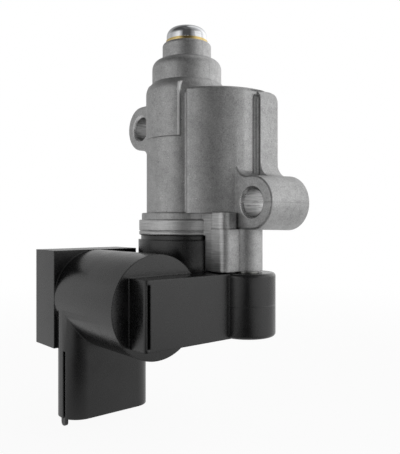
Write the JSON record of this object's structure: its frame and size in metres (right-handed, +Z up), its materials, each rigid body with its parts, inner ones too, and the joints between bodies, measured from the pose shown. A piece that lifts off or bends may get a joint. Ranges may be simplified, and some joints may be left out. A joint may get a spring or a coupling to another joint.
{
  "type": "idle air control valve",
  "caption": "Rotary idle air valve: die-cast body with a two-window flange on diagonal screw ears, and a black two-coil motor housing with a downward connector.",
  "frame": {"origin": "on the mounting face, halfway between the two screw holes", "axes": "+Z up the rotor axis, +Y square to the mounting flange towards the engine, +X to the right when the flange is behind"},
  "size_m": [0.0606, 0.0453, 0.1029],
  "materials": {
    "cast_aluminium": "matt die-cast skin, fine grain, bare",
    "sector_aluminium": "turned and smooth",
    "carrier_aluminium": "turned and smooth",
    "polished_steel": "polished, mirror-like",
    "brass": "bright",
    "tinned_brass": "tinned, satin",
    "ground_steel": "ground, fine lines round the axis",
    "bearing_steel": "ground and polished",
    "spring_steel": "blued spring steel",
    "plated_steel": "zinc plated, satin",
    "core_sheet": "stacked sheet edges",
    "ferrite": "dull dark grey, sintered",
    "copper_wire": "enamelled copper wire",
    "hub_plastic": "natural glass-filled nylon",
    "black_plastic": "satin black, glass-filled, light grain",
    "seal_rubber": "soft, dull black"
  },
  "bodies": {
    "valve": {"valve_body": "cast_aluminium", "end_cap": "polished_steel", "brass_ring": "brass", "upper_bearing_outer": "bearing_steel", "upper_bearing_balls": "bearing_steel", "lower_bearing_outer": "bearing_steel", "lower_bearing_balls": "bearing_steel", "preload_washer": "spring_steel", "bearing_carrier": "carrier_aluminium", "shaft_seal": "seal_rubber", "stop_pin_shut": "ground_steel", "stop_pin_open": "ground_steel", "motor_housing": "black_plastic", "housing_o_ring": "seal_rubber", "core_yoke": "core_sheet", "pole_piece_right": "core_sheet", "pole_piece_left": "core_sheet", "coil_bobbin": "hub_plastic", "opening_coil": "copper_wire", "closing_coil": "copper_wire", "terminal_front": "tinned_brass", "terminal_middle": "tinned_brass", "terminal_rear": "tinned_brass", "screw_sleeve_right": "plated_steel", "screw_sleeve_left": "plated_steel", "housing_screw_right": "plated_steel", "housing_screw_left": "plated_steel"},
    "rotor": {"rotor_shaft": "ground_steel", "shaft_clip": "spring_steel", "rotary_valve": "sector_aluminium", "magnet_hub": "hub_plastic", "rotor_magnet": "ferrite", "upper_bearing_inner": "bearing_steel", "lower_bearing_inner": "bearing_steel"}
  },
  "joints": [
    {"name": "rotor_turn", "type": "hinge", "parent": "valve", "child": "rotor", "pos_m": [-0.0008, -0.0133, -0.01975], "axis": [0, 0, 1], "range_deg": [-25, 37]}
  ]
}
